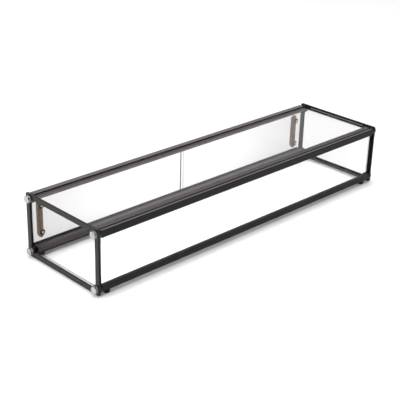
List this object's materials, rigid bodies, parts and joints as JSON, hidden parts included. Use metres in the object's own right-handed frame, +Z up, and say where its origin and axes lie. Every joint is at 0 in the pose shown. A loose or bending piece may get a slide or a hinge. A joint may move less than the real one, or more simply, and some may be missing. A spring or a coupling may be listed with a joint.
{
  "type": "cake display case",
  "caption": "Low clear countertop display case in a black aluminium frame, with sliding doors at the rear, pull handles, round cap screws and small feet.",
  "frame": {"origin": "on the counter, under the middle of the overall box, at the height of the feet's undersides", "axes": "+X along the case to its right end, +Y from the front panel to the sliding doors, +Z up"},
  "size_m": [0.915, 0.2536, 0.1525],
  "materials": {
    "black_aluminium": "dark anodised with a fine brushed grain",
    "black_moulding": "smooth glossy black moulding",
    "clear_panel": "clear polished panel",
    "polished_metal": "bright polished metal",
    "black_rubber": "matte black rubber",
    "dark_bronze_plastic": "smoky brown translucent plastic, satin",
    "glide_plastic": "grey low-friction plastic",
    "steel_screw": "plain zinc-plated steel"
  },
  "bodies": {
    "case": {"left_top_bar": "black_aluminium", "left_bottom_bar": "black_aluminium", "left_front_post": "black_aluminium", "left_rear_post": "black_aluminium", "left_top_front_corner": "black_moulding", "left_top_rear_corner": "black_moulding", "left_bottom_front_corner": "black_moulding", "left_bottom_rear_corner": "black_moulding", "left_end_panel": "clear_panel", "left_end_seals": "black_rubber", "left_cap_screws": "polished_metal", "right_top_bar": "black_aluminium", "right_bottom_bar": "black_aluminium", "right_front_post": "black_aluminium", "right_rear_post": "black_aluminium", "right_top_front_corner": "black_moulding", "right_top_rear_corner": "black_moulding", "right_bottom_front_corner": "black_moulding", "right_bottom_rear_corner": "black_moulding", "right_end_panel": "clear_panel", "right_end_seals": "black_rubber", "right_cap_screws": "polished_metal", "front_top_rail": "black_aluminium", "front_bottom_rail": "black_aluminium", "rear_top_rail": "black_aluminium", "rear_bottom_rail": "black_aluminium", "top_panel": "clear_panel", "top_front_seal": "black_rubber", "top_rear_seal": "black_rubber", "front_panel": "clear_panel", "front_lower_seal": "black_rubber", "front_upper_seal": "black_rubber", "base_panel": "clear_panel", "front_left_foot": "black_rubber", "front_right_foot": "black_rubber", "rear_left_foot": "black_rubber", "rear_right_foot": "black_rubber", "foot_screws": "steel_screw"},
    "left_door": {"left_door_pane": "clear_panel", "left_door_glides": "glide_plastic", "left_door_handle": "dark_bronze_plastic", "left_handle_washers": "black_rubber", "left_handle_screws": "steel_screw"},
    "right_door": {"right_door_pane": "clear_panel", "right_door_glides": "glide_plastic", "right_door_handle": "dark_bronze_plastic", "right_handle_washers": "black_rubber", "right_handle_screws": "steel_screw"}
  },
  "joints": [
    {"name": "left_door_slide", "type": "slide", "parent": "case", "child": "left_door", "axis": [1, 0, 0], "range_m": [0, 0.2]},
    {"name": "right_door_slide", "type": "slide", "parent": "case", "child": "right_door", "axis": [-1, 0, 0], "range_m": [0, 0.2]}
  ]
}
